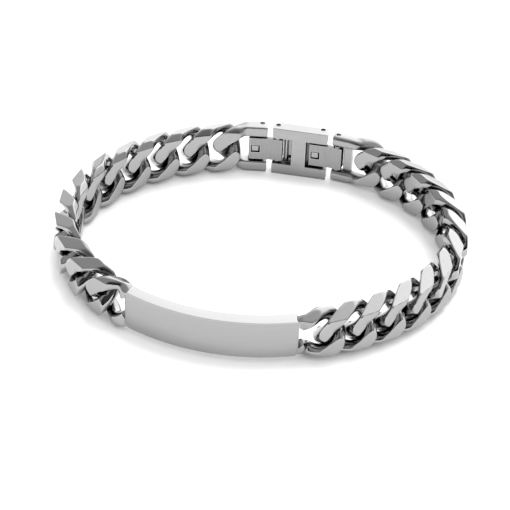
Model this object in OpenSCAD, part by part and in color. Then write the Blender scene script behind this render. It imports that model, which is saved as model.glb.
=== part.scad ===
// Identity bracelet: a plain curved plate, a flat curb chain and a double fold-over clasp.
// It stands on its edge round a closed oval. +Z runs across the band and the plate faces -Y.
// A piece is drawn in a frame of its own: x runs anticlockwise round the loop, y inward, z up.

/* [Loop] */
// Depth of the closed loop as a share of its width, both at the middle of the chain
loop_ratio = 0.76; // [0.7:0.01:0.86]
// Turn of the plate's middle away from straight in front, clockwise seen from above
plate_turn = 14.2; // [0:0.1:18]

/* [Plate] */
// Length of the plate along its curve
plate_len = 35; // [28:0.5:44]
// Height of the plate across the band
plate_h = 9; // [8:0.1:10]
// Thickness of the plate
plate_t = 2.7; // [2:0.1:3.2]
// Radius of the plate's curve at the middle of its thickness
plate_r = 43; // [36:1:60]
// Radius of the plate's four corners, seen from in front
plate_corner = 1; // [0.6:0.1:1.6]
// Distance from the end of the plate to the middle of the half link soldered into it
loop_reach = 3; // [2.6:0.1:3.4]
// Half length of the half link's side towards the plate
loop_half = 4; // [3.9:0.1:4.4]
// Depth that the ends of the half link run into the plate
solder_depth = 0.6; // [0.4:0.1:0.8]

/* [Chain] */
// Links between the plate and the clasp on the right
links_right = 11; // [9:1:13]
// Links between the plate and the clasp on the left
links_left = 10; // [8:1:12]
// Distance from link to link on the right, where the chain lies pushed together
pitch_right = 6.5; // [6.5:0.05:6.8]
// Distance from link to link on the left, where it lies pulled out
pitch_left = 6.8; // [6.5:0.05:6.8]
// Length of a link over its ends
link_len = 12.9; // [12.85:0.05:13]
// Height of the chain band
band_h = 12; // [11.9:0.1:12.4]
// Thickness of the chain between its ground faces
band_t = 4.4; // [4.3:0.1:5]
// Diameter of the link wire before its faces are ground flat
wire_d = 2.85; // [2.6:0.05:2.85]
// Turn of a link's wire about the chain's line, from the middle of the link to its end
link_twist = 46; // [44:1:47]
// Distance that a link's left end stands out of the band's middle plane, and its right end in
link_lean = 0.2; // [0:0.05:0.25]
// Height of the ground flat along the middle of the band
flat_h = 4.4; // [4:0.1:5]
// Slope of the ground bevels above and below that flat
bevel_slope = 14; // [10:1:14]

/* [Clasp] */
// Length of the middle block
block_len = 11.7; // [11:0.1:14]
// Height of the middle block
block_h = 12; // [11.4:0.1:12.4]
// Height of the two end pieces
end_h = 11.6; // [11.4:0.1:12]
// Distance from the block's side of an end piece to the middle of its chain loop
end_len = 5.25; // [5.2:0.05:7]
// Thickness of the clasp
clasp_t = 2.4; // [2.3:0.1:2.8]
// Gap between the block and an end piece
clasp_gap = 1.2; // [1:0.1:1.6]
// Thickness of the cross wall that ends the right end piece's slot
slot_wall = 1.6; // [1.2:0.1:1.8]
// Bend of the clasp at each of those gaps
clasp_bend = 8; // [6:1:10]
// Extra room along the loop for the clasp, because its straight pieces cut the curve short
clasp_room = 0.1; // [0.05:0.05:0.2]
// Twist of the half link on an end piece
end_twist = 52; // [50:1:53]
// Height of the notches that take the tongues
notch_h = 6.7; // [6.2:0.1:7.2]
// Length of the block's notch that takes the right tongue's tip
catch_notch = 4.5; // [4.4:0.1:5]
// Length of the shallow step behind the left tongue's tail
step_len = 1.5; // [1:0.1:2]
// Depth of that step from the inner face
step_depth = 1.2; // [0.8:0.1:1.6]

/* [Tongues] */
// Length of a tongue from its hinge to its tip
tongue_len = 6; // [5.8:0.1:6.1]
// Height of a tongue
tongue_h = 5.6; // [5:0.1:6]
// Thickness of a tongue
tongue_t = 0.8; // [0.6:0.1:0.9]
// Depth of a tongue below the clasp's inner face
tongue_sink = 0.3; // [0.2:0.1:0.5]
// Diameter of the knuckle round the hinge pin
knuckle_d = 1.9; // [1.7:0.1:1.9]
// Length of the tongue's tail behind its hinge
tail_len = 1.1; // [1:0.1:1.2]
// Side of the square window near the tip
window = 1.9; // [1.7:0.1:2]
// Metal between the window and the tip
window_rim = 0.35; // [0.3:0.05:0.5]
// Side of the square lug that the window snaps over
lug = 1.5; // [1.2:0.1:1.6]

/* [Pins] */
// Diameter of the hinge pins
hinge_pin_d = 1; // [0.8:0.1:1.1]
// Distance of a hinge pin from the end of the piece that holds it
hinge_inset = 1; // [1:0.1:1.2]
// Diameter of the stop pins under the tongues
stop_pin_d = 1; // [0.8:0.1:1]
// Distance of a stop pin from the end of the piece that holds it
stop_inset = 1.2; // [1.1:0.1:1.4]
// Length that each pin stops short of the faces it runs between
pin_short = 0.15; // [0.1:0.05:0.3]

/* [Clearances] */
// Between a fixed pin and its hole, on the radius
pin_fit = 0.02; // [0.01:0.01:0.03]
// Between a hinge pin and the knuckle that turns on it, on the radius
hinge_fit = 0.05; // [0.03:0.01:0.08]
// Between a moving tongue and what it passes or rests beside
running_gap = 0.15; // [0.1:0.05:0.2]

/* [Detail] */
// Rings of points round a link
link_sides = 16; // [12:2:16]
// Angle up to which the faceted wire keeps to the round, from its middle plane
shoulder = 50; // [44:2:60]

/* [Hidden] */
$fn = 48;
STEEL = [0.74, 0.75, 0.76];
DARK_STEEL = [0.55, 0.56, 0.57];
eps = 0.01;
// Points on a rounded corner, angle that an end piece's half link runs on into its arms, and
// how much thinner a half link is than the piece it is soldered into
corner_steps = 6;
section_points = 6;
end_overlap = 12;
solder_step = 0.1;

// Loop of the half links and of the link rings, at the middle of the wire
ring_a = (link_len - wire_d) / 2;
ring_b = (band_h - wire_d) / 2;
end_ring_b = (end_h - wire_d) / 2;

// Height of the middle of the band over the surface that it rests on
mid_z = max(band_h, block_h) / 2;

// Places along the clasp, from the middle of the block
bend_x = block_len / 2 + clasp_gap / 2;
end_ring_x = clasp_gap / 2 + end_len;
clasp_half = bend_x + end_ring_x + clasp_room;

// Levels across the clasp's thickness, from its middle, + towards the wrist
tongue_top = clasp_t / 2 - tongue_sink;
tongue_under = tongue_top - tongue_t;
hinge_y = tongue_top - running_gap / 3 - knuckle_d / 2;
wall_top = tongue_under - running_gap;
stop_y = wall_top - stop_pin_d / 2;
tail_room = norm([tail_len, tongue_top - hinge_y]) + running_gap;

// Route of the loop: an ellipse whose length is that of all that lies on it
route_len = plate_len + 2 * loop_reach + (links_right + 1) * pitch_right
    + (links_left + 1) * pitch_left + 2 * clasp_half;
route_step = 1;
function unit_point(t) = [cos(t), loop_ratio * sin(t)];
unit_steps = [for (t = [0:route_step:360 - route_step]) norm(unit_point(t + route_step) - unit_point(t))];
route_a = route_len / (unit_steps * [for (u = unit_steps) 1]);
route_b = route_a * loop_ratio;
plate_angle = -90 - plate_turn;
function route_at(t) = route_a * unit_point(t);
function sums(v, i, n, total) = i > n ? [] :
    concat([total], sums(v, i + 1, n, total + (i < n ? v[i] : 0)));
half_turn = 360 / route_step;
route_steps = [for (i = [0:half_turn - 1])
    norm(route_at(plate_angle + (i + 1) * route_step) - route_at(plate_angle + i * route_step))];
route_sums = sums(route_steps, 0, half_turn, 0);
angle_table = [for (i = [0:half_turn]) [route_sums[i], plate_angle + i * route_step]];
function angle_for(s) = lookup(s < 0 ? s + route_len : s, angle_table);
function place_at(s) = route_at(angle_for(s));
function heading(s) = let (t = angle_for(s)) atan2(loop_ratio * cos(t), -sin(t));

// Stations of the chain, from the plate's middle, + anticlockwise
first_ring = plate_len / 2 + loop_reach;
clasp_at = first_ring + (links_right + 1) * pitch_right + clasp_half;
clasp_from = place_at(clasp_at - clasp_half);
clasp_to = place_at(clasp_at + clasp_half);
clasp_line = clasp_to - clasp_from;
clasp_heading = atan2(clasp_line[1], clasp_line[0]);
clasp_mid = (clasp_from + clasp_to) / 2
    - end_ring_x * sin(clasp_bend) * [-sin(clasp_heading), cos(clasp_heading)];

// Plate: the chord between its ends gives its frame
plate_from = place_at(-plate_len / 2);
plate_to = place_at(plate_len / 2);
plate_arc = plate_len / plate_r * 180 / PI;
plate_sag = plate_r * (1 - cos(plate_arc / 2));
plate_chord = plate_to - plate_from;
plate_heading = atan2(plate_chord[1], plate_chord[0]);

right_names = [for (i = [1:links_right]) str("link_right_", i)];
left_names = [for (i = [1:links_left]) str("link_left_", i)];

// Ground faces of the chain as half-spaces [normal, distance], three on each side
bevel_reach = band_t / 2 * cos(bevel_slope) + flat_h / 2 * sin(bevel_slope);
ground_faces = [for (side = [-1, 1], tip = [-1, 0, 1])
    tip == 0 ? [[0, side, 0], band_t / 2]
             : [[0, side * cos(bevel_slope), tip * sin(bevel_slope)], bevel_reach]];

// Angle from direction u towards v, at most the shoulder, at which a round wire at c meets a face
function corner(c, u, v, faces) = min([shoulder, for (f = faces) let (
        reach = norm([f[0] * u, f[0] * v]),
        room = (f[1] - f[0] * c) / (wire_d / 2))
    if (f[0] * v > eps && room < reach) atan2(f[0] * v, f[0] * u) - acos(room / reach)]);

// Shape of a link: half height, twist, half length of its side at -x, how fast the twist dies out
// on that side, and the half thickness of the piece it is soldered into there
free_link = [ring_b, link_twist, ring_a, 0, band_t];
plate_link = [ring_b, link_twist, loop_half, loop_half / loop_reach, plate_t / 2 - solder_step];
end_link = [end_ring_b, end_twist, ring_a, 1 / eps, clasp_t / 2 - solder_step];

// Middle of the wire at angle t round a link
function ring_point(t, shape) = let (
        back = min(0, cos(t)),
        rise = shape[0] * sin(t),
        turn = shape[1] * cos(t) * max(0, 1 + shape[3] * back),
        lean = link_lean * (shape[3] > 0 ? max(0, cos(t)) : cos(t)))
    [back < 0 ? shape[2] * back : ring_a * cos(t), rise * sin(turn) + lean, rise * cos(turn)];
function unit(v) = v / norm(v);

// One section of the wire at angle t: on each side a point and two corners, which lie where the
// round wire is ground off or else at the shoulders
function wire_section(t, shape) = let (
        c = ring_point(t, shape),
        along = unit(ring_point(t + 1, shape) - ring_point(t - 1, shape)),
        out = unit(c - (c * along) * along),
        up = cross(along, out),
        faces = concat(ground_faces, cos(t) > eps ? []
            : [for (side = [-1, 1]) [[0, side, 0], shape[4]]]))
    [for (side = [1, -1]) let (
            above = corner(c, side * out, up, faces),
            below = corner(c, side * out, -up, faces))
        for (a = side > 0 ? [-below, (above - below) / 2, above] : [above, (above - below) / 2, -below])
            c + wire_d / 2 * (side * cos(a) * out + sin(a) * up)];

// Faces between rings of m points, two triangles to a cell, closed on itself or not
function wire_faces(n, m, closed) = [for (i = [0:closed ? n - 1 : n - 2], j = [0:m - 1]) let (
        a = i * m + j,
        b = i * m + (j + 1) % m,
        c = (i + 1) % n * m + (j + 1) % m,
        d = (i + 1) % n * m + j)
    each [[a, c, b], [a, d, c]]];
function end_faces(n, m) = [[for (j = [0:m - 1]) j], [for (j = [m - 1:-1:0]) (n - 1) * m + j]];

module wire_link() {
    sections = [for (i = [0:link_sides - 1]) wire_section(360 * i / link_sides, free_link)];
    polyhedron([for (s = sections) each s], wire_faces(link_sides, section_points, true));
}
// Part of a link on both sides of its tip at +x, as far as angle reach
module half_link(shape, reach) {
    count = ceil(reach / 180 * link_sides);
    sections = [for (i = [0:count]) wire_section(reach * (2 * i / count - 1), shape)];
    polyhedron([for (s = sections) each s],
        concat(wire_faces(count + 1, section_points, false),
        end_faces(count + 1, section_points)));
}

// Frames
module on_route(s) {
    p = place_at(s);
    translate([p[0], p[1], mid_z]) rotate([0, 0, heading(s)]) children();
}
module on_plate() {
    mid = (plate_from + plate_to) / 2;
    translate([mid[0], mid[1], mid_z]) rotate([0, 0, plate_heading])
        translate([0, -plate_sag, 0]) children();
}
module on_block() {
    translate([clasp_mid[0], clasp_mid[1], mid_z]) rotate([0, 0, clasp_heading]) children();
}
// Side 1 is the left end piece, which follows the block anticlockwise, and side -1 the right one
module on_end(side) {
    on_block() translate([side * bend_x, 0, 0]) rotate([0, 0, side * clasp_bend]) children();
}

// A box between two x values, two y values and a height about the middle of the band
module bar(x0, x1, y0, y1, h) {
    translate([min(x0, x1), y0, -h / 2]) cube([abs(x1 - x0), y1 - y0, h]);
}
module pin_hole(x, y, d) {
    translate([x, y, -band_h]) cylinder(h = 2 * band_h, d = d);
}

// Outline of a slab with rounded corners
function slab_outline(l, h, r) = [for (k = [0:3], i = [0:corner_steps]) let (
        a = 90 * (k + i / corner_steps),
        mid = [(k == 0 || k == 3 ? 1 : -1) * (l / 2 - r), (k < 2 ? 1 : -1) * (h / 2 - r)])
    mid + r * [cos(a), sin(a)]];

module id_plate() {
    reach = acos(-(loop_reach + solder_depth) / loop_half);
    chord = 2 * (plate_r + plate_t / 2) * sin(plate_arc / 2);
    color(STEEL) union() {
        on_plate() intersection() {
            translate([0, plate_r, -plate_h / 2]) rotate([0, 0, -90 - plate_arc / 2])
                rotate_extrude(angle = plate_arc) translate([plate_r - plate_t / 2, 0])
                    square([plate_t, plate_h]);
            translate([0, plate_r / 2, 0]) rotate([90, 0, 0]) linear_extrude(height = plate_r)
                polygon(slab_outline(chord, plate_h, plate_corner));
        }
        for (side = [-1, 1]) on_route(side * first_ring)
            rotate([0, 0, side > 0 ? 0 : 180]) half_link(plate_link, reach);
    }
}

module link(s) {
    color(STEEL) on_route(s) wire_link();
}

// Two arms and a half link; the wall joins the arms and stops below the tongue
module end_frame(side, wall_from, wall_to) {
    arm_h = (end_h - notch_h) / 2;
    for (z = [-1, 1]) translate([0, 0, z * (end_h - arm_h) / 2])
        bar(side * clasp_gap / 2, side * end_ring_x, -clasp_t / 2, clasp_t / 2, arm_h);
    bar(side * wall_from, side * wall_to, -clasp_t / 2, wall_top, notch_h + 2 * eps);
    rotate([0, 0, side > 0 ? 0 : 180]) translate([end_ring_x, 0, 0])
        half_link(end_link, 90 + end_overlap);
}

module end_piece_left() {
    tip_x = tongue_len - hinge_inset - clasp_gap / 2;
    wall_from = clasp_gap / 2 + stop_inset + stop_pin_d / 2 + running_gap;
    color(STEEL) on_end(1) difference() {
        union() {
            end_frame(1, wall_from, tip_x + running_gap);
            lug_block(tip_x);
        }
        pin_hole(clasp_gap / 2 + stop_inset, stop_y, stop_pin_d + 2 * pin_fit);
    }
}

module end_piece_right() {
    wall_from = clasp_gap / 2 + hinge_inset + tail_room;
    color(STEEL) on_end(-1) difference() {
        end_frame(-1, wall_from, wall_from + slot_wall);
        pin_hole(-clasp_gap / 2 - hinge_inset, hinge_y, hinge_pin_d + 2 * pin_fit);
    }
}

// The lug stands in the window of a tongue whose tip is at x
module lug_block(tip_x) {
    middle = tip_x - window_rim - window / 2;
    bar(middle - lug / 2, middle + lug / 2, -clasp_t / 2, tongue_top, lug);
}

module clasp_block() {
    far = block_len / 2;
    hinge_x = far - hinge_inset;
    notch_end = -far + catch_notch;
    tip_x = -far + tongue_len - hinge_inset - clasp_gap;
    wall_from = -far + stop_inset + stop_pin_d / 2 + running_gap;
    color(STEEL) on_block() difference() {
        union() {
            difference() {
                bar(-far, far, -clasp_t / 2, clasp_t / 2, block_h);
                bar(-far - 1, notch_end, -clasp_t, clasp_t, notch_h);
                bar(hinge_x - tail_room, far + 1, -clasp_t, clasp_t, notch_h);
                bar(hinge_x - tail_room - step_len, hinge_x, clasp_t / 2 - step_depth, clasp_t, notch_h);
            }
            bar(wall_from, notch_end + eps, -clasp_t / 2, wall_top, notch_h + 2 * eps);
            lug_block(tip_x);
        }
        pin_hole(hinge_x, hinge_y, hinge_pin_d + 2 * pin_fit);
        pin_hole(-far + stop_inset, stop_y, stop_pin_d + 2 * pin_fit);
    }
}

// A tongue hinged at x = hinge in the frame of its piece; it bends with the clasp at x = bend
module tongue(hinge, bend) {
    knuckle_h = notch_h - 2 * running_gap;
    tip = tongue_len - (bend - hinge);
    color(DARK_STEEL) difference() {
        union() {
            translate([hinge, hinge_y, -knuckle_h / 2]) cylinder(h = knuckle_h, d = knuckle_d);
            bar(hinge - tail_len, bend, tongue_under, tongue_top, tongue_h);
            translate([bend, 0, 0]) rotate([0, 0, clasp_bend]) difference() {
                bar(-tongue_t / 2, tip, tongue_under, tongue_top, tongue_h);
                bar(tip - window_rim - window, tip - window_rim, -clasp_t, clasp_t, window);
            }
        }
        pin_hole(hinge, hinge_y, hinge_pin_d + 2 * hinge_fit);
    }
}
module tongue_left() {
    on_block() tongue(block_len / 2 - hinge_inset, bend_x);
}
module tongue_right() {
    on_end(-1) tongue(-clasp_gap / 2 - hinge_inset, 0);
}

module pin(x, y, d, h) {
    color(DARK_STEEL) translate([x, y, -h / 2 + pin_short]) cylinder(h = h - 2 * pin_short, d = d);
}
module hinge_pin_right() {
    on_end(-1) pin(-clasp_gap / 2 - hinge_inset, hinge_y, hinge_pin_d, end_h);
}
module hinge_pin_left() {
    on_block() pin(block_len / 2 - hinge_inset, hinge_y, hinge_pin_d, block_h);
}
module stop_pin_right() {
    on_block() pin(-block_len / 2 + stop_inset, stop_y, stop_pin_d, block_h);
}
module stop_pin_left() {
    on_end(1) pin(clasp_gap / 2 + stop_inset, stop_y, stop_pin_d, end_h);
}

id_plate();
for (i = [1:links_right])
    link(first_ring + i * pitch_right);
for (i = [1:links_left])
    link(-first_ring - i * pitch_left);
end_piece_right();
end_piece_left();
clasp_block();
tongue_right();
tongue_left();
hinge_pin_right();
hinge_pin_left();
stop_pin_right();
stop_pin_left();
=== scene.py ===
import math
from collections import namedtuple

import bpy
import numpy as np
from mathutils import Matrix, Vector


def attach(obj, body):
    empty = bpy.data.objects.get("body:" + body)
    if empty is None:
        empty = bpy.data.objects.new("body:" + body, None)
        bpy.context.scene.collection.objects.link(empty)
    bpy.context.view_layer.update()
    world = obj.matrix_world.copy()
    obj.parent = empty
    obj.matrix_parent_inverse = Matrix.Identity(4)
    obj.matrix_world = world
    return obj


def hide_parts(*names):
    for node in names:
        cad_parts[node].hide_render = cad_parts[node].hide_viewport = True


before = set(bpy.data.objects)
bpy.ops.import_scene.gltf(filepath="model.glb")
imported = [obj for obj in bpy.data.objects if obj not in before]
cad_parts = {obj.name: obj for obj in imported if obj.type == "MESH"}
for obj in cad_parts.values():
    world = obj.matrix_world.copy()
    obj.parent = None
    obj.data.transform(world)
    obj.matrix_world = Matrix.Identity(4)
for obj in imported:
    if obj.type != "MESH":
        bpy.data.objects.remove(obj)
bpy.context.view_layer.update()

MM = 0.001

# Sizes in millimetres, with the names that they have in the part's source
LOOP_RATIO = 0.76
PLATE_TURN = 14.2
PLATE_LEN = 35
PLATE_H = 9
PLATE_T = 2.7
PLATE_R = 43
PLATE_CORNER = 1
LOOP_REACH = 3
LOOP_HALF = 4
PITCH_RIGHT = 6.5
PITCH_LEFT = 6.8
LINK_LEN = 12.9
BAND_H = 12
BAND_T = 4.4
WIRE_D = 2.85
BLOCK_LEN = 11.7
BLOCK_H = 12
END_H = 11.6
END_LEN = 5.25
CLASP_T = 2.4
CLASP_GAP = 1.2
SLOT_WALL = 1.6
CLASP_BEND = 8
CLASP_ROOM = 0.1
NOTCH_H = 6.7
CATCH_NOTCH = 4.5
STEP_LEN = 1.5
STEP_DEPTH = 1.2
TONGUE_LEN = 6
TONGUE_H = 5.6
TONGUE_T = 0.8
TONGUE_SINK = 0.3
KNUCKLE_D = 1.9
TAIL_LEN = 1.1
WINDOW = 1.9
WINDOW_RIM = 0.35
LUG = 1.5
HINGE_PIN_D = 1
HINGE_INSET = 1
STOP_PIN_D = 1
STOP_INSET = 1.2
PIN_SHORT = 0.15
PIN_FIT = 0.02
HINGE_FIT = 0.05
RUNNING_GAP = 0.15

# Derived sizes
LINKS_RIGHT = sum(name.startswith("link_right_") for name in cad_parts)
LINKS_LEFT = sum(name.startswith("link_left_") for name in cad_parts)
RING_A = (LINK_LEN - WIRE_D) / 2
END_RING_B = (END_H - WIRE_D) / 2
MID_Z = max(BAND_H, BLOCK_H) / 2
BEND_X = BLOCK_LEN / 2 + CLASP_GAP / 2
END_RING_X = CLASP_GAP / 2 + END_LEN
CLASP_HALF = BEND_X + END_RING_X + CLASP_ROOM
TONGUE_TOP = CLASP_T / 2 - TONGUE_SINK
TONGUE_UNDER = TONGUE_TOP - TONGUE_T
HINGE_Y = TONGUE_TOP - RUNNING_GAP / 3 - KNUCKLE_D / 2
WALL_TOP = TONGUE_UNDER - RUNNING_GAP
STOP_Y = WALL_TOP - STOP_PIN_D / 2
TAIL_ROOM = math.hypot(TAIL_LEN, TONGUE_TOP - HINGE_Y) + RUNNING_GAP
ARM_H = (END_H - NOTCH_H) / 2
ARM_MID = (END_H - ARM_H) / 2
ARM_START = CLASP_GAP / 2 - END_RING_X
TAIL_HOLLOW = TAIL_ROOM - RUNNING_GAP * 2 / 3

# Fineness of the meshes: numbers of points, steps and sections
WIRE_POINTS = 64
LINK_SECTIONS = 216
EDGE_SEARCH = 720
DISC_POINTS = 48
HOLLOW_POINTS = 96
LATHE_POINTS = 40
PLATE_STEPS = 72
CORNER_STEPS = 9
TIP_SECTIONS = 77
JOIN_SECTIONS = 12
ARM_SECTIONS = 8

# Turn round the wire, in radians, of the strip on each side of a ground edge
EDGE_STRIP = 0.06

# The worked shape of the wire, which the source has as round
WIRE_POWER = 2.8
EDGE_POWER = 26
FLAT_SWELL = 0.16
TIP_SWELL = 0.3

# Where the wire stays round for the next link: how fast that starts, and how far round
BESIDE_SLOPE = 1.8
BESIDE_START = 0.1
BEHIND_SLOPE = 1.6
BEHIND_START = 0.2
CROSSING_DEPTH = 0.8

# The facets that grinding leaves on a link, wider than in the source
LINK_RISE = 4.75
HALF_LINK_RISE = 4.35
RING_POWER = 2.5
RING_TWIST = 44
RING_LEAN = 0.25
END_RING_TWIST = 46
OUTER_CREASE = 4.4
RIDGE = 1.2
INNER_CREASE = 4.8
LEAST_ROOM = 0.02
LEAST_LENGTH = 0.001
NEARLY_ZERO = 1e-9

# The plate's corners and edges, and how its half links end in it
PLATE_TOP_CORNER = 0.5
PLATE_EDGE = 0.22
PLATE_BREAK = 0.3
STRAND_STEP = 0.3
STRAND_DEPTH = 0.12
STRAND_FROM = 90
STRAND_TURN = 48

# The arms of the end pieces
LOOP_TURN = 74
ARM_FROM = -1.2
ARM_ROUND = 0.2
ARM_BREAK = 0.29
ARM_POWER_RIGHT = 3.2
ARM_POWER_LEFT = 9

# Broken edges of the clasp, and the angles in degrees above which an edge is broken
BLOCK_EDGE = 0.13
LEAF_EDGE = 0.09
SMALL_EDGE = 0.08
EDGE_ANGLE = 35
LEAF_ANGLE = 50

# Details of the clasp that only the scene has
WALL_SUNK = 0.02
WALL_OVERLAP = 0.5
LUG_SUNK = 0.05
LUG_TRIM = 0.12
LUG_LOW_TRIM = 0.2
LUG_HIGH_RISE = 0.05
LIP_SUNK = 0.03
LIP_DROP = 0.2
LIP_OVERLAP = 0.15
GROOVE_OFFSET = 0.4
GROOVE_WIDTH = 0.5
GROOVE_FLOOR = -0.7
POCKET_LENGTH = 1
POCKET_LOW = -2.3
POCKET_HIGH = -1.4
GROOVE_TRIM = 0.1
HEEL_DEPTH = 0.9
HEEL_OVERLAP = 0.2
CUT_PAST = 1

# End of a pin: shares of its radius, and how far below its tip they lie as shares of the dome
PIN_DOME = 0.06
PIN_RIM = [(0, 0), (0.5, 1 / 6), (0.85, 0.5), (0.97, 1), (1, 2)]

# Angles in degrees above which an edge is drawn sharp
CLASP_SHARP = 40
LINK_SHARP = 80


def cosd(a):
    return np.cos(np.radians(a))


def sind(a):
    return np.sin(np.radians(a))


def unit(v):
    """Vectors brought to length 1."""
    return v / np.linalg.norm(v, axis=-1, keepdims=True)


# Route of the loop, as in the source: an ellipse whose length is that of all that lies on it
ROUTE_LEN = (PLATE_LEN + 2 * LOOP_REACH + (LINKS_RIGHT + 1) * PITCH_RIGHT
             + (LINKS_LEFT + 1) * PITCH_LEFT + 2 * CLASP_HALF)
ROUTE_ANGLES = -90 - PLATE_TURN + np.arange(361.0)


def ellipse(angles):
    return np.stack([cosd(angles), LOOP_RATIO * sind(angles)], -1)


UNIT_STEPS = np.linalg.norm(np.diff(ellipse(ROUTE_ANGLES), axis=0), axis=1)
ROUTE_A = ROUTE_LEN / UNIT_STEPS.sum()
ROUTE_SUMS = np.concatenate([[0], np.cumsum(UNIT_STEPS)]) * ROUTE_A


def angle_for(s):
    """Angle of the ellipse at the distance s along the route from the plate's middle."""
    return np.interp(s % ROUTE_LEN, ROUTE_SUMS, ROUTE_ANGLES)


def place_at(s):
    return ROUTE_A * ellipse(angle_for(s))


def placed(at, heading):
    """The frame of a piece: x along the band, y towards the wrist, z up."""
    return Matrix.Translation((at[0], at[1], MID_Z)) @ Matrix.Rotation(heading, 4, "Z")


def on_route(s):
    """The frame of a link whose middle lies at the distance s."""
    t = angle_for(s)
    return placed(place_at(s), math.atan2(LOOP_RATIO * cosd(t), -sind(t)))


def heading_of(v):
    return math.atan2(v[1], v[0])


# Distance from the plate's middle to the middle of a half link soldered into it
FIRST_RING = PLATE_LEN / 2 + LOOP_REACH


def facing(place, side):
    """The same place, turned half way round for side -1."""
    return place @ Matrix.Rotation(0 if side > 0 else math.pi, 4, "Z")


def on_block():
    middle = FIRST_RING + (LINKS_RIGHT + 1) * PITCH_RIGHT + CLASP_HALF
    start, end = place_at(middle - CLASP_HALF), place_at(middle + CLASP_HALF)
    heading = heading_of(end - start)
    inward = np.array([-math.sin(heading), math.cos(heading)])
    return placed((start + end) / 2 - END_RING_X * sind(CLASP_BEND) * inward, heading)


def on_end(side):
    """Side 1 is the left end piece, which follows the block anticlockwise, and -1 the right one."""
    return (on_block() @ Matrix.Translation((side * BEND_X, 0, 0))
            @ Matrix.Rotation(math.radians(side * CLASP_BEND), 4, "Z"))


def on_plate():
    start, end = place_at(-PLATE_LEN / 2), place_at(PLATE_LEN / 2)
    sag = PLATE_R * (1 - math.cos(PLATE_LEN / PLATE_R / 2))
    return placed((start + end) / 2, heading_of(end - start)) @ Matrix.Translation((0, -sag, 0))


# Links: a wire bent to a twisted ring, its outer sides ground flat. A half link has its left half pulled
# back by the factor back, and loses its twist and lean there as fast as fade says
Shape = namedtuple("Shape", "rise twist back fade")
FREE_LINK = Shape(LINK_RISE, RING_TWIST, RING_A, 0)
PLATE_LINK = Shape(HALF_LINK_RISE, RING_TWIST, LOOP_HALF, LOOP_HALF / LOOP_REACH)
END_LINK = Shape(END_RING_B, END_RING_TWIST, RING_A, 0)


def ground_face(one, other):
    """The face through two (y, z) points, metal on its left: its normal, and how far out it is."""
    (y0, z0), (y1, z1) = one, other
    length = math.hypot(y1 - y0, z1 - z0)
    normal = (0, (z0 - z1) / length, (y1 - y0) / length)
    return normal, normal[1] * y0 + normal[2] * z0


# From the outer face over the top to the wrist side, and the same below
UPPER_OUTLINE = [(-BAND_T / 2, 0), (-BAND_T / 2, OUTER_CREASE), (RIDGE, BAND_H / 2),
                 (BAND_T / 2, INNER_CREASE), (BAND_T / 2, 0)]
GROUND_FACES = [ground_face(*pair) for pair in zip(UPPER_OUTLINE, UPPER_OUTLINE[1:])]
GROUND_FACES += [((0, normal[1], -normal[2]), room) for normal, room in GROUND_FACES[1:-1]]


def ring_point(t, shape):
    """Middle of the wire at angle t round a link, which is squarer than an ellipse."""
    power = np.where(shape.fade * cosd(t) < 0, 2, RING_POWER)
    full = (np.abs(cosd(t)) ** power + np.abs(sind(t)) ** power) ** (-1 / power)
    along, rise = cosd(t) * full, shape.rise * sind(t) * full
    back = np.minimum(0, along)
    turn = shape.twist * along * np.maximum(0, 1 + shape.fade * back)
    lean = RING_LEAN * (np.maximum(0, along) if shape.fade else along)
    x = np.where(back < 0, shape.back * back, RING_A * along)
    return np.stack([x, rise * sind(turn) + lean, rise * cosd(turn)], -1)


def section_faces(faces, centre, deep, wide):
    """The ground faces in a section's plane: normals, and distances from the wire's middle."""
    normals = np.array([face[0] for face in faces], float)
    distances = np.array([face[1] for face in faces], float)
    room = np.maximum(LEAST_ROOM, distances - normals @ centre)
    return np.stack([normals @ deep, normals @ wide], -1), room


def wire_reach(angles, inward, middle, along_band):
    """Distance of the wire's own surface from its middle: squarer than round, save by the next link."""
    ways = np.stack([np.cos(angles), np.sin(angles)], -1)
    flat_part = 4 * along_band**2 * (1 - along_band**2)
    sizes = WIRE_D / 2 + np.array([TIP_SWELL * along_band**4, FLAT_SWELL * flat_part])
    power = 2 + (WIRE_POWER - 2) * min(1, 2 * along_band)
    full = ((np.abs(ways) / sizes) ** power).sum(axis=-1) ** (-1 / power)
    beside = np.clip(ways @ inward * BESIDE_SLOPE + BESIDE_START, 0, 1) * along_band**2
    beyond = np.clip(-ways @ inward * BESIDE_SLOPE + BESIDE_START, 0, 1) * along_band**10
    behind = np.clip(ways[:, 0] * middle * BEHIND_SLOPE + BEHIND_START, 0, 1)
    touch = np.maximum.reduce([beside, beyond, behind])
    return full + touch * (WIRE_D / 2 - full)


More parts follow.
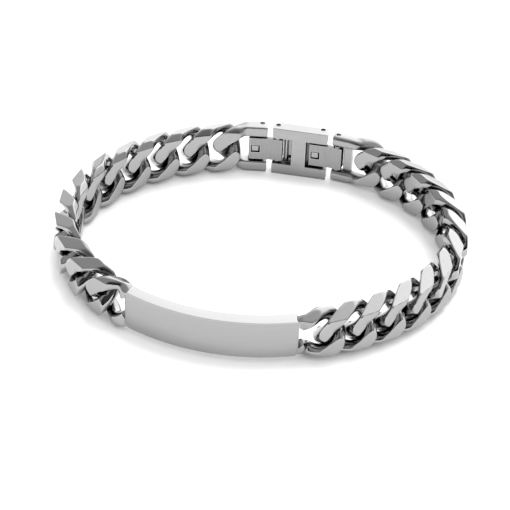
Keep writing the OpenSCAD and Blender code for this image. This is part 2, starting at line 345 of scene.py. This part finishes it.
def wire_section(centre, deep, wide, faces):
    """One section of ground wire, with points on every edge of its faces, and which points those are."""
    inward = -np.array([centre @ deep, centre @ wide])
    inward /= max(np.linalg.norm(inward), LEAST_LENGTH)
    along_band = min(1, abs(centre[0]) / RING_A)
    middle = -np.clip(centre[1] / CROSSING_DEPTH, -1, 1)
    normals, room = section_faces(faces, centre, deep, wide)

    def limits(angles):
        towards = np.stack([np.cos(angles), np.sin(angles)], -1) @ normals.T
        with np.errstate(divide="ignore", invalid="ignore"):
            reach = np.where(towards > NEARLY_ZERO, room / towards, np.inf)
        return np.concatenate([wire_reach(angles, inward, middle, along_band)[:, None], reach], axis=1)

    fine = np.arange(EDGE_SEARCH + 1) * 2 * math.pi / EDGE_SEARCH
    reach = limits(fine)
    nearest = reach.argmin(axis=1)
    step = 2 * math.pi / WIRE_POINTS
    angles = np.arange(WIRE_POINTS) * step
    on_edge = np.zeros(WIRE_POINTS, bool)
    last = -1
    for i in np.flatnonzero(nearest[1:] != nearest[:-1]):
        one, other = nearest[i], nearest[i + 1]
        before, after = reach[i, other] - reach[i, one], reach[i + 1, one] - reach[i + 1, other]
        edge = fine[i] + (fine[1] * before / (before + after) if np.isfinite(before) else 0)
        last = max(round(edge / step), last + 1)
        angles[last % WIRE_POINTS] = edge
        on_edge[last % WIRE_POINTS] = True
    for k in np.flatnonzero(on_edge):
        for near in (-1, 1):
            beside = (k + near) % WIRE_POINTS
            if not on_edge[beside]:
                gap_shade = (angles[beside] - angles[k]) * near % (2 * math.pi)
                angles[beside] = angles[k] + near * min(EDGE_STRIP, gap_shade)
    radii = (limits(angles) ** -EDGE_POWER).sum(axis=1) ** (-1 / EDGE_POWER)
    ways = np.cos(angles)[:, None] * deep + np.sin(angles)[:, None] * wide
    return centre + radii[:, None] * ways, on_edge


def section_frame(along):
    """The directions across a wire: through the band, and along the band's face."""
    deep = unit(np.array([0, 1, 0]) - along[1] * along)
    return deep, np.cross(along, deep)


def skin(rings, edges, closed):
    """Points and faces of the surface through rings of points, its cells split along ground edges."""
    n, m = len(rings), len(rings[0])
    faces = []
    for i in range(n if closed else n - 1):
        k = (i + 1) % n
        rising = edges[i] & np.roll(edges[k], -1)
        falling = np.roll(edges[i], -1) & edges[k]
        rising = rising | np.roll(rising, 1) | np.roll(rising, -1)
        falling = falling | np.roll(falling, 1) | np.roll(falling, -1)
        for j in range(m):
            after = (j + 1) % m
            a, b, c, d = i * m + j, i * m + after, k * m + after, k * m + j
            if rising[j]:
                faces += [(a, b, c), (a, c, d)]
            elif falling[j]:
                faces += [(a, b, d), (b, c, d)]
            else:
                faces.append((a, b, c, d))
    if not closed:
        faces += [tuple(reversed(range(m))), tuple((n - 1) * m + j for j in range(m))]
    return np.concatenate(rings), faces


def wire_link():
    """A free link, which is the same all along the chain."""
    rings, edges = [], []
    for t in np.arange(LINK_SECTIONS) * 360 / LINK_SECTIONS:
        centre = ring_point(t, FREE_LINK)
        along = unit(ring_point(t + 1, FREE_LINK) - ring_point(t - 1, FREE_LINK))
        ring, edge = wire_section(centre, *section_frame(along), GROUND_FACES)
        rings.append(ring)
        edges.append(edge)
    return skin(rings, edges, True)


def eased(x):
    """Smooth step from 0 to 1."""
    x = min(1, max(0, x))
    return x * x * (3 - 2 * x)


def plate_half_link():
    """Half link whose ends run into the plate, and which grows thinner than the plate there."""
    reach = math.degrees(math.acos(-(LOOP_REACH + STRAND_DEPTH) / LOOP_HALF))
    rings, edges = [], []
    for t in np.linspace(-reach, reach, round(LINK_SECTIONS * reach / 180) + 1):
        centre = ring_point(t, PLATE_LINK)
        along = unit(ring_point(t + 1, PLATE_LINK) - ring_point(t - 1, PLATE_LINK))
        thin = eased((abs(t) - STRAND_FROM) / STRAND_TURN)
        half = BAND_T / 2 + thin * (PLATE_T / 2 - STRAND_STEP - BAND_T / 2)
        faces = GROUND_FACES + [((0, side, 0), half) for side in (-1, 1)]
        ring, edge = wire_section(centre, *section_frame(along), faces if thin else GROUND_FACES)
        rings.append(ring)
        edges.append(edge)
    return skin(rings, edges, False)


def end_loop_path():
    """Middle of an end piece's bent bar, each point with its share of an arm's section."""
    tip = [(ring_point(t, END_LINK), 0) for t in np.linspace(-LOOP_TURN, LOOP_TURN, TIP_SECTIONS)]
    inner = ring_point(LOOP_TURN, END_LINK)
    inner_along = ring_point(LOOP_TURN + 1, END_LINK) - inner
    inner_along *= 1 / np.linalg.norm(inner_along)
    outer = np.array([ARM_FROM, 0, ARM_MID])
    length = np.linalg.norm(outer - inner)
    upper = []
    for u in np.linspace(0, 1, JOIN_SECTIONS)[1:]:
        h = [2 * u**3 - 3 * u**2 + 1, u**3 - 2 * u**2 + u, 3 * u**2 - 2 * u**3, u**3 - u**2]
        upper.append((h[0] * inner + h[1] * length * inner_along + h[2] * outer
                      + h[3] * length * np.array([-1, 0, 0]), u))
    for x in np.linspace(ARM_FROM, ARM_START + ARM_ROUND, ARM_SECTIONS)[1:]:
        upper.append((np.array([x, 0, ARM_MID]), 1))
    flip = np.array([1, -1, -1])
    return [(flip * point, share) for point, share in reversed(upper)] + tip + upper


def end_loop(arm_power):
    """Both arms of an end piece and the half link between their far ends, as one bent bar."""
    path = end_loop_path()
    tangents = unit(np.gradient(np.array([centre for centre, weight in path]), axis=0))
    tangents[0] = (1, 0, 0)
    tangents[-1] = (-1, 0, 0)
    rings, edges = [], []
    for (centre, weight), along in zip(path, tangents):
        deep, wide = section_frame(along)
        ring, edge = wire_section(centre, deep, wide, GROUND_FACES)
        if weight:
            share = eased(weight)
            ring = (1 - share) * ring + share * arm_section(centre, deep, wide, 0, arm_power)
            edge = edge & (weight < 0.5)
        rings.append(ring)
        edges.append(edge)
    for inset, back in ((ARM_ROUND * ARM_BREAK, ARM_ROUND * ARM_BREAK), (ARM_ROUND, 0)):
        ends = []
        for way in (1, -1):
            centre = np.array([ARM_START + back, 0, -way * ARM_MID])
            deep, wide = section_frame(np.array([way, 0, 0]))
            ends.append(arm_section(centre, deep, wide, inset, arm_power))
        rings = [ends[0]] + rings + [ends[1]]
        edges = [edges[0]] + edges + [edges[-1]]
    return skin(rings, edges, False)


def arm_section(centre, deep, wide, inset, power):
    """Section of an arm: a rectangle whose corners are the rounder the lower the power is."""
    angles = np.arange(WIRE_POINTS) * 2 * math.pi / WIRE_POINTS
    ways = np.stack([np.cos(angles), np.sin(angles)], -1)
    sizes = np.array([CLASP_T / 2 - inset, ARM_H / 2 - inset])
    radii = ((np.abs(ways) / sizes) ** power).sum(axis=1) ** (-1 / power)
    return centre + radii[:, None] * (ways[:, :1] * deep + ways[:, 1:] * wide)


def make(points, faces, place=Matrix()):
    """A mesh object; meshes stay in millimetres until they become pieces."""
    mesh = bpy.data.meshes.new("shape")
    mesh.from_pydata([tuple(map(float, p)) for p in points], [], faces)
    mesh.transform(place)
    shape = bpy.data.objects.new("shape", mesh)
    bpy.context.scene.collection.objects.link(shape)
    return shape


def prism(outline, low, high, place=Matrix()):
    """Solid of an outline in x and y between two heights."""
    n = len(outline)
    points = [(x, y, low) for x, y in outline] + [(x, y, high) for x, y in outline]
    sides = [(i, (i + 1) % n, n + (i + 1) % n, n + i) for i in range(n)]
    return make(points, [tuple(reversed(range(n))), tuple(range(n, 2 * n))] + sides, place)


def bar(x0, x1, y0, y1, height, place=Matrix()):
    """A box between two x values, two y values and a height about the middle of the band."""
    x0, x1 = min(x0, x1), max(x0, x1)
    return prism([(x0, y0), (x1, y0), (x1, y1), (x0, y1)], -height / 2, height / 2, place)


def disc(radius, count=DISC_POINTS):
    return [(radius * cosd(360 * i / count), radius * sind(360 * i / count)) for i in range(count)]


def rod(x, y, d, height, place=Matrix()):
    return prism([(x + u, y + v) for u, v in disc(d / 2)], -height / 2, height / 2, place)


def lathe(profile, place=Matrix(), count=LATHE_POINTS):
    """Solid of revolution about z through (radius, z) points that start and end on the axis."""
    rings = [[(r * cosd(360 * j / count), r * sind(360 * j / count), z) for j in range(count)]
             for r, z in profile[1:-1]]
    points = [(0, 0, profile[0][1])] + [p for ring in rings for p in ring] + [(0, 0, profile[-1][1])]
    last = len(points) - 1
    faces = [(0, 1 + (j + 1) % count, 1 + j) for j in range(count)]
    for i in range(len(rings) - 1):
        a, b = 1 + i * count, 1 + (i + 1) * count
        faces += [(a + j, a + (j + 1) % count, b + (j + 1) % count, b + j) for j in range(count)]
    top = 1 + (len(rings) - 1) * count
    faces += [(top + j, top + (j + 1) % count, last) for j in range(count)]
    return make(points, faces, place)


def settled(shape):
    """The shape with its modifiers applied."""
    bpy.context.view_layer.update()
    deps = bpy.context.evaluated_depsgraph_get()
    result = shape.evaluated_get(deps)
    mesh = bpy.data.meshes.new_from_object(result, preserve_all_data_layers=True, depsgraph=deps)
    shape.modifiers.clear()
    shape.data = mesh
    return shape


def combined(shape, others, operation):
    for other in others:
        change = shape.modifiers.new("change", "BOOLEAN")
        change.operation = operation
        change.solver = "MANIFOLD"
        change.object = other
    settled(shape)
    for other in others:
        bpy.data.objects.remove(other)
    return shape


def joined(shape, *others):
    return combined(shape, others, "UNION")


def cut(shape, *others):
    return combined(shape, others, "DIFFERENCE")


def rounded(shape, width, angle=EDGE_ANGLE):
    """The shape with its edges broken."""
    change = shape.modifiers.new("edges", "BEVEL")
    change.width = width
    change.segments = 3
    change.limit_method = "ANGLE"
    change.angle_limit = math.radians(angle)
    change.miter_outer = "MITER_ARC"
    change.use_clamp_overlap = True
    return settled(shape)


def piece(shape, name, node, body, material, sharp=CLASP_SHARP):
    """Makes a shape a piece of the scene that replaces a node; edges above the sharp angle stay sharp."""
    shape.name = name
    shape.data.name = name
    shape.data.transform(Matrix.Scale(MM, 4))
    shape.data.materials.clear()
    shape.data.materials.append(material)
    shape.data.shade_smooth()
    shape.data.set_sharp_from_angle(angle=math.radians(sharp))
    even = shape.modifiers.new("even_normals", "WEIGHTED_NORMAL")
    even.keep_sharp = True
    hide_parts(node)
    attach(shape, body)


# Materials: widths in millimetres of the painted highlight along edges and of the painted shade in gaps,
# and the cosines and openness between which they show
EDGE_HIGHLIGHT_WIDTH = 0.22
EDGE_HIGHLIGHT_GAIN = 0.5
EDGE_HIGHLIGHT_FROM = 0.995
EDGE_HIGHLIGHT_FULL = 0.96
EDGE_HIGHLIGHT_COLOUR = (0.75, 0.75, 0.755, 1)
SHADE_REACH = 1.5
SHADE_TONE = 0.04
SHADE_CLOSED = 0.2
SHADE_OPEN = 0.72
MARKS_SCALE = 1000
MARKS_DETAIL = 6
MARKS_DEPTH = 0.02
MARKS_ROUGHNESS = 0.2
NODE_SAMPLES = 6


def add_node(tree, kind, inputs, **settings):
    """A node with its settings, whose inputs are set to values or linked to sockets."""
    node = tree.nodes.new("ShaderNode" + kind)
    for name, value in settings.items():
        setattr(node, name, value)
    for name, value in inputs.items():
        if isinstance(value, bpy.types.NodeSocket):
            tree.links.new(value, node.inputs[name])
        else:
            node.inputs[name].default_value = value
    return node


def steel(name, colour, roughness, scratch, grain, mottle=0.05):
    """Stainless steel with fine marks in its tone, roughness and surface, a painted highlight along its
    edges and painted shade in its gaps.
    """
    material = bpy.data.materials.new(name)
    material.use_nodes = True
    tree = material.node_tree
    shader = tree.nodes["Principled BSDF"]
    shader.inputs["Metallic"].default_value = 1
    place = add_node(tree, "TexCoord", {})
    stretch = add_node(tree, "Mapping", {"Scale": grain, "Vector": place.outputs["Object"]})
    marks = add_node(tree, "TexNoise", {"Scale": MARKS_SCALE, "Detail": MARKS_DETAIL,
                                        "Vector": stretch.outputs["Vector"]}).outputs["Fac"]
    rough = add_node(tree, "MapRange", {"To Min": roughness * (1 - MARKS_ROUGHNESS),
                                        "To Max": roughness * (1 + MARKS_ROUGHNESS), "Value": marks})
    tree.links.new(rough.outputs["Result"], shader.inputs["Roughness"])
    tone = add_node(tree, "Mix", {"A": (*[(1 - mottle) * c for c in colour], 1),
                                  "B": (*[(1 + mottle) * c for c in colour], 1),
                                  "Factor": marks}, data_type="RGBA")
    # Painted highlight: the colour turns lighter along broken edges, where the bevelled normal differs
    # from the surface's own
    around = add_node(tree, "Bevel", {"Radius": EDGE_HIGHLIGHT_WIDTH * MM}, samples=NODE_SAMPLES)
    here = add_node(tree, "NewGeometry", {})
    along = add_node(tree, "VectorMath", {0: around.outputs["Normal"], 1: here.outputs["Normal"]},
                     operation="DOT_PRODUCT")
    edge_highlight = add_node(tree, "MapRange", {"From Min": EDGE_HIGHLIGHT_FROM, "From Max": EDGE_HIGHLIGHT_FULL, "To Max": EDGE_HIGHLIGHT_GAIN,
                                       "Value": along.outputs["Value"]})
    highlighted = add_node(tree, "Mix", {"A": tone.outputs["Result"], "B": EDGE_HIGHLIGHT_COLOUR,
                                    "Factor": edge_highlight.outputs["Result"]}, data_type="RGBA")
    # Painted shade: the colour goes towards black in gaps and hollows that ambient occlusion finds closed
    # in
    open_sky = add_node(tree, "AmbientOcclusion", {"Distance": SHADE_REACH * MM}, samples=NODE_SAMPLES)
    gap_shade = add_node(tree, "MapRange", {"From Min": SHADE_CLOSED, "From Max": SHADE_OPEN, "To Min": SHADE_TONE,
                                      "Value": open_sky.outputs["AO"]})
    shade = add_node(tree, "Mix", {"A": (0, 0, 0, 1), "B": highlighted.outputs["Result"],
                                   "Factor": gap_shade.outputs["Result"]}, data_type="RGBA")
    tree.links.new(shade.outputs["Result"], shader.inputs["Base Color"])
    bump = add_node(tree, "Bump", {"Strength": scratch, "Distance": MARKS_DEPTH * MM, "Height": marks})
    tree.links.new(bump.outputs["Normal"], shader.inputs["Normal"])
    return material


POLISHED = steel("polished_steel", (0.34, 0.34, 0.343), 0.06, 0.1, (1, 1, 1))
PLATE_STEEL = steel("plate_steel", (0.325, 0.325, 0.328), 0.12, 0.15, (0.15, 0.15, 3))
SATIN = steel("satin_steel", (0.35, 0.35, 0.353), 0.32, 0.3, (0.2, 0.2, 2.5), 0.12)
TONGUE_STEEL = steel("tongue_steel", (0.27, 0.27, 0.272), 0.25, 0.3, (2, 2, 0.3), 0.12)
# The pins' colour is nearly black: painted shade of the pin ends sunk in their holes
PIN_SHADE_STEEL = steel("pin_end_painted_shade", (0.12, 0.12, 0.122), 0.35, 0.2, (1, 1, 1))


def plate_slab():
    """The curved slab, its edges broken and its corners rounded, sharper at the top."""
    halves = {}
    for flip, radius in ((1, PLATE_TOP_CORNER), (-1, PLATE_CORNER)):
        reach = PLATE_LEN / 2 - radius
        corner = [(reach + radius * sind(a), PLATE_H / 2 - radius + radius * cosd(a))
                  for a in np.linspace(0, 90, CORNER_STEPS)]
        middle = [(x, PLATE_H / 2) for x in np.linspace(-reach, reach, PLATE_STEPS)]
        halves[flip] = [(-x, z) for x, z in reversed(corner)] + middle[1:-1] + corner
    half = len(halves[1])
    rims = [(0, PLATE_EDGE), (PLATE_EDGE * PLATE_BREAK, PLATE_EDGE * PLATE_BREAK), (PLATE_EDGE, 0)]
    levels = ([(-PLATE_T / 2 + depth, inset) for depth, inset in rims]
              + [(PLATE_T / 2 - depth, inset) for depth, inset in reversed(rims)])
    points, faces = [], []
    ring = 2 * half
    for y, inset in levels:
        for flip in (1, -1):
            for x, z in halves[flip][::flip]:
                x *= 1 - inset / (PLATE_LEN / 2)
                z *= flip * (1 - inset / (PLATE_H / 2))
                turn = x / PLATE_R
                radius = PLATE_R - y
                points.append((radius * math.sin(turn), PLATE_R - radius * math.cos(turn), z))
    for level in range(len(levels) - 1):
        a, b = level * ring, (level + 1) * ring
        faces += [(a + j, a + (j + 1) % ring, b + (j + 1) % ring, b + j) for j in range(ring)]
    for base, front in ((0, True), ((len(levels) - 1) * ring, False)):
        for j in range(half - 1):
            cell = (base + j, base + j + 1, base + ring - 2 - j, base + ring - 1 - j)
            faces.append(tuple(reversed(cell)) if front else cell)
    return make(points, faces, on_plate())


def id_plate():
    """The slab with a half link soldered into each end."""
    ends = [make(*plate_half_link(), facing(on_route(side * FIRST_RING), side)) for side in (1, -1)]
    return joined(plate_slab(), *ends)


def end_piece(side):
    """The bent bar with its cross wall; the left one has the lug, and the right one the hinge."""
    place = on_end(side)
    loop_place = facing(place, side) @ Matrix.Translation((END_RING_X, 0, 0))
    frame_bar = make(*end_loop(ARM_POWER_LEFT if side > 0 else ARM_POWER_RIGHT), loop_place)
    if side > 0:
        tip_x = TONGUE_LEN - HINGE_INSET - CLASP_GAP / 2
        wall_from = CLASP_GAP / 2 + STOP_INSET
        wall_to = tip_x + RUNNING_GAP
        bore_x, bore_y, bore_d = CLASP_GAP / 2 + STOP_INSET, STOP_Y, STOP_PIN_D
        detail = lug_block(tip_x, place)
    else:
        wall_from = CLASP_GAP / 2 + HINGE_INSET + TAIL_ROOM
        wall_to = wall_from + SLOT_WALL
        bore_x, bore_y, bore_d = CLASP_GAP / 2 + HINGE_INSET, HINGE_Y, HINGE_PIN_D
        detail = tail_lip(side * bore_x, place)
    wall = bar(side * wall_from, side * wall_to, -CLASP_T / 2 + WALL_SUNK, WALL_TOP,
               NOTCH_H + 2 * WALL_OVERLAP, place)
    joined(frame_bar, wall, detail)
    return cut(frame_bar, rod(side * bore_x, bore_y, bore_d + 2 * PIN_FIT, 2 * BAND_H, place))


def lug_block(tip_x, place):
    """The lug in a tongue's window, a little smaller towards the hinge and towards the floor."""
    end = tip_x - WINDOW_RIM - (WINDOW - LUG) / 2
    start = end - LUG + LUG_TRIM
    low, high = -LUG / 2 + LUG_LOW_TRIM, LUG / 2 + LUG_HIGH_RISE
    base = -CLASP_T / 2 + LUG_SUNK
    outline = [(start, base), (end, base), (end, TONGUE_TOP), (start, TONGUE_TOP)]
    return rounded(prism(outline, low, high, place), SMALL_EDGE)


def tail_space(hinge_x, height, place):
    """The space that a tongue's tail swings through."""
    outline = [(hinge_x + x, HINGE_Y + y) for x, y in disc(TAIL_HOLLOW, HOLLOW_POINTS)]
    return prism(outline, -height / 2, height / 2, place)


def tail_lip(hinge_x, place):
    """Closes the right end piece's slot behind the tongue's tail, hollowed to let the tail swing."""
    lip = bar(hinge_x - TAIL_LEN, hinge_x - TAIL_ROOM - LIP_OVERLAP, -CLASP_T / 2 + LIP_SUNK,
              HINGE_Y - LIP_DROP, NOTCH_H + 2 * LIP_OVERLAP, place)
    return cut(lip, tail_space(hinge_x, 2 * BAND_H, place))


def clasp_block():
    """The middle block: one notch has a wall and a lug, and the other holds the left tongue's hinge."""
    place = on_block()
    far = BLOCK_LEN / 2
    hinge_x = far - HINGE_INSET
    notch_end = -far + CATCH_NOTCH
    out = far + CUT_PAST
    block = bar(-far, far, -CLASP_T / 2, CLASP_T / 2, BLOCK_H, place)
    cut(block,
        bar(-out, -far + STOP_INSET, -CLASP_T, CLASP_T, NOTCH_H, place),
        bar(-out, notch_end, WALL_TOP, CLASP_T, NOTCH_H, place),
        bar(hinge_x - TAIL_LEN, out, -CLASP_T, CLASP_T, NOTCH_H, place),
        bar(hinge_x - TAIL_ROOM, out, HINGE_Y - LIP_DROP, CLASP_T, NOTCH_H, place),
        bar(hinge_x - TAIL_ROOM - STEP_LEN, hinge_x, CLASP_T / 2 - STEP_DEPTH, CLASP_T, NOTCH_H, place))
    rounded(block, BLOCK_EDGE)
    joined(block, lug_block(-far + TONGUE_LEN - HINGE_INSET - CLASP_GAP, place))
    cut(block, tail_space(hinge_x, NOTCH_H, place))
    groove = hinge_x - TAIL_ROOM - GROOVE_OFFSET
    pocket = groove - POCKET_LENGTH
    cut(block,
        bar(groove - GROOVE_WIDTH, groove, GROOVE_FLOOR, CLASP_T, NOTCH_H - GROOVE_TRIM, place),
        prism([(pocket, GROOVE_FLOOR), (groove, GROOVE_FLOOR), (groove, CLASP_T), (pocket, CLASP_T)],
              POCKET_LOW, POCKET_HIGH, place))
    return cut(block,
               rod(hinge_x, HINGE_Y, HINGE_PIN_D + 2 * PIN_FIT, 2 * BAND_H, place),
               rod(-far + STOP_INSET, STOP_Y, STOP_PIN_D + 2 * PIN_FIT, 2 * BAND_H, place))


def tongue(hinge, bend, place):
    """A leaf that bends with the clasp, with a knuckle, a short tail and a window near its tip."""
    tip = TONGUE_LEN - (bend - hinge)
    slope = math.radians(CLASP_BEND)

    def beyond(x, y):
        along = x * math.cos(slope) - y * math.sin(slope)
        return bend + along, x * math.sin(slope) + y * math.cos(slope)

    mitre = math.tan(slope / 2)
    profile = [(hinge - TAIL_LEN, TONGUE_UNDER), (bend - TONGUE_UNDER * mitre, TONGUE_UNDER),
               beyond(tip, TONGUE_UNDER), beyond(tip, TONGUE_TOP),
               (bend - TONGUE_TOP * mitre, TONGUE_TOP), (hinge - TAIL_LEN, TONGUE_TOP)]
    leaf = prism(profile, -TONGUE_H / 2, TONGUE_H / 2, place)
    rounded(leaf, LEAF_EDGE, LEAF_ANGLE)
    turned = place @ Matrix.Translation((bend, 0, 0)) @ Matrix.Rotation(slope, 4, "Z")
    knuckle = rod(hinge, HINGE_Y, KNUCKLE_D, NOTCH_H - 2 * RUNNING_GAP, place)
    rounded(knuckle, SMALL_EDGE)
    heel = bar(hinge - TAIL_LEN, hinge, HINGE_Y - HEEL_DEPTH, TONGUE_UNDER + HEEL_OVERLAP,
               TONGUE_H - HEEL_OVERLAP, place)
    joined(leaf, knuckle, heel)
    window = bar(tip - WINDOW_RIM - WINDOW, tip - WINDOW_RIM, -CLASP_T, CLASP_T, WINDOW, turned)
    return cut(leaf, window, rod(hinge, HINGE_Y, HINGE_PIN_D + 2 * HINGE_FIT, 2 * BAND_H, place))


def pin(x, y, d, height, place):
    """A pin with slightly domed ends."""
    half = height / 2 - PIN_SHORT
    profile = [(r * d / 2, half - drop * PIN_DOME) for r, drop in reversed(PIN_RIM)]
    profile = [(r, -z) for r, z in reversed(profile)] + profile
    return lathe(profile, place @ Matrix.Translation((x, y, 0)))


def add_pieces():
    """All the pieces: the left ones follow the block anticlockwise round the loop."""
    body = "bracelet"
    piece(id_plate(), "id_plate_body", "id_plate", body, PLATE_STEEL)
    link_points, link_faces = wire_link()
    for side, count, pitch in (("right", LINKS_RIGHT, PITCH_RIGHT), ("left", LINKS_LEFT, PITCH_LEFT)):
        way = 1 if side == "right" else -1
        for i in range(1, count + 1):
            link = make(link_points, link_faces, on_route(way * (FIRST_RING + i * pitch)))
            piece(link, f"{side}_link_{i}", f"link_{side}_{i}", body, POLISHED, LINK_SHARP)
    piece(end_piece(-1), "right_end_piece", "end_piece_right", body, SATIN)
    piece(end_piece(1), "left_end_piece", "end_piece_left", body, SATIN)
    piece(clasp_block(), "middle_block", "clasp_block", body, SATIN)
    half = BLOCK_LEN / 2
    left, right, block = on_end(1), on_end(-1), on_block()
    piece(tongue(-CLASP_GAP / 2 - HINGE_INSET, 0, right), "right_tongue", "tongue_right", "tongue_right",
          TONGUE_STEEL)
    piece(tongue(half - HINGE_INSET, BEND_X, block), "left_tongue", "tongue_left", "tongue_left",
          TONGUE_STEEL)
    pins = [("hinge_pin_right", -CLASP_GAP / 2 - HINGE_INSET, HINGE_Y, HINGE_PIN_D, END_H, right),
            ("hinge_pin_left", half - HINGE_INSET, HINGE_Y, HINGE_PIN_D, BLOCK_H, block),
            ("stop_pin_right", -half + STOP_INSET, STOP_Y, STOP_PIN_D, BLOCK_H, block),
            ("stop_pin_left", CLASP_GAP / 2 + STOP_INSET, STOP_Y, STOP_PIN_D, END_H, left)]
    for node, x, y, d, height, place in pins:
        piece(pin(x, y, d, height, place), node + "_rod", node, body, PIN_SHADE_STEEL)


# The photograph's camera, in degrees and millimetres
CAMERA_HEIGHT = 40.6416
CAMERA_ROLL = 2.5301
CAMERA_YAW = 0.7172
CAMERA_DISTANCE = 515.271
CAMERA_TARGET = (-1.042, -5.9153, 6)
FOCAL_PIXELS = 2548.893
PICTURE_SIDE = 510


def add_camera():
    e, yaw = math.radians(CAMERA_HEIGHT), math.radians(CAMERA_YAW)
    forward = Vector((math.sin(yaw) * math.cos(e), math.cos(yaw) * math.cos(e), -math.sin(e)))
    data = bpy.data.cameras.new("camera")
    data.sensor_fit = "HORIZONTAL"
    data.lens = data.sensor_width * FOCAL_PIXELS / PICTURE_SIDE
    data.clip_start = 0.01
    camera = bpy.data.objects.new("camera", data)
    roll = Matrix.Rotation(math.radians(CAMERA_ROLL), 3, "Z").to_quaternion()
    turn = forward.to_track_quat("-Z", "Y") @ roll
    camera.matrix_world = (Matrix.Translation((Vector(CAMERA_TARGET) - forward * CAMERA_DISTANCE) * MM)
                           @ turn.to_matrix().to_4x4())
    bpy.context.scene.collection.objects.link(camera)
    bpy.context.scene.camera = camera


def add_floor():
    """A plain pale floor, a square of 6 m."""
    side = 3
    corners = [(-side, -side, 0), (side, -side, 0), (side, side, 0), (-side, side, 0)]
    mesh = bpy.data.meshes.new("floor")
    mesh.from_pydata(corners, [], [(0, 1, 2, 3)])
    floor = bpy.data.objects.new("floor", mesh)
    bpy.context.scene.collection.objects.link(floor)
    material = bpy.data.materials.new("floor")
    material.use_nodes = True
    shader = material.node_tree.nodes["Principled BSDF"]
    shader.inputs["Base Color"].default_value = (0.9, 0.9, 0.9, 1)
    shader.inputs["Roughness"].default_value = 1
    shader.inputs["Specular IOR Level"].default_value = 0
    floor.data.materials.append(material)


def direction(azimuth, elevation):
    """A direction in the studio: azimuth from straight behind the object, positive to the right."""
    return (sind(azimuth) * cosd(elevation), cosd(azimuth) * cosd(elevation), sind(elevation))


# Each patch of the studio: azimuth, elevation, angles where its even middle and it end, light added
STUDIO_LIGHT = 0.7
STUDIO_PATCHES = [
    (38, 36, 24, 54, 1.65),
    (0, 8, 10, 58, 0.64),
    (-115, 25, 25, 65, -0.1),
    (180, 15, 12, 50, -0.6),
]
FLOOR_LIGHT = 1.35

# The darker rim of the studio: light added, and the elevations between which it ends
HORIZON = -0.42
HORIZON_FROM = 2
HORIZON_TO = 9

# The lamp: power, angle across, azimuth and elevation
KEY_ENERGY = 1.8
KEY_ANGLE = 24
KEY_AZIMUTH = 35
KEY_ELEVATION = 72


def add_studio():
    """An even white studio, brighter behind on the right, darker in front and low down."""
    world = bpy.data.worlds.new("studio")
    bpy.context.scene.world = world
    world.use_nodes = True
    tree = world.node_tree
    way = add_node(tree, "TexCoord", {}).outputs["Generated"]
    total = STUDIO_LIGHT
    for azimuth, elevation, inner, outer, light in STUDIO_PATCHES:
        towards = add_node(tree, "VectorMath", {0: way, 1: direction(azimuth, elevation)},
                           operation="DOT_PRODUCT")
        patch = add_node(tree, "MapRange", {"From Min": cosd(outer), "From Max": cosd(inner),
                                            "To Max": light, "Value": towards.outputs["Value"]},
                         interpolation_type="SMOOTHSTEP")
        total = add_node(tree, "Math", {0: total, 1: patch.outputs["Result"]}).outputs["Value"]
    height = add_node(tree, "SeparateXYZ", {"Vector": way}).outputs["Z"]
    rim = add_node(tree, "MapRange", {"From Min": sind(HORIZON_FROM), "From Max": sind(HORIZON_TO),
                                      "To Min": HORIZON, "To Max": 0, "Value": height},
                   interpolation_type="SMOOTHSTEP")
    total = add_node(tree, "Math", {0: total, 1: rim.outputs["Result"]}).outputs["Value"]
    # The floor and other dull things get the same light from everywhere
    ray = add_node(tree, "LightPath", {})
    seen = add_node(tree, "Mix", {"A": total, "B": FLOOR_LIGHT, "Factor": ray.outputs["Is Diffuse Ray"]})
    tree.links.new(seen.outputs["Result"], tree.nodes["Background"].inputs["Color"])
    bpy.context.scene.view_settings.view_transform = "Standard"


def add_lamp():
    """The soft lamp that throws the shadow on the floor, and that the steel doesn't mirror."""
    lamp = bpy.data.lights.new("key", "SUN")
    lamp.energy = KEY_ENERGY
    lamp.angle = math.radians(KEY_ANGLE)
    key = bpy.data.objects.new("key", lamp)
    towards = Vector(direction(KEY_AZIMUTH, KEY_ELEVATION))
    key.rotation_euler = towards.to_track_quat("Z", "Y").to_euler()
    key.visible_glossy = False
    bpy.context.scene.collection.objects.link(key)


add_camera()
add_floor()
add_studio()
add_lamp()
add_pieces()
